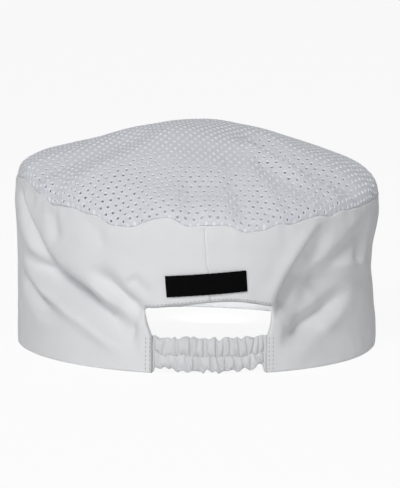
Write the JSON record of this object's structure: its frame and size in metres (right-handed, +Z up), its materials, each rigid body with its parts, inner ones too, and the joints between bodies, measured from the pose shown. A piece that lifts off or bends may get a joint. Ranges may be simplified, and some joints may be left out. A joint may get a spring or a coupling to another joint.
{
  "type": "chef skull cap",
  "caption": "White chef's skull cap: deep twill band, slack pin-hole mesh crown, back opening over a gathered elastic strap, small dark label.",
  "frame": {"origin": "on the floor under the middle of the cap's length and width, in the plane of the hem", "axes": "+Z up from hem to crown, +Y towards the back opening and label, so +X is on the left of a view from behind"},
  "size_m": [0.18, 0.1949, 0.1103],
  "materials": {
    "pin_hole_mesh": "bluish white warp-knit polyester with rows of small round holes, soft sheen",
    "white_twill": "matt white polycotton twill, softly creased",
    "gathered_twill": "the same white twill, gathered over two elastics",
    "black_weave": "close black satin-woven label tape, bare"
  },
  "bodies": {
    "root": {"mesh_crown": "pin_hole_mesh", "band": "white_twill", "elastic_casing": "gathered_twill", "woven_label": "black_weave"}
  },
  "joints": []
}
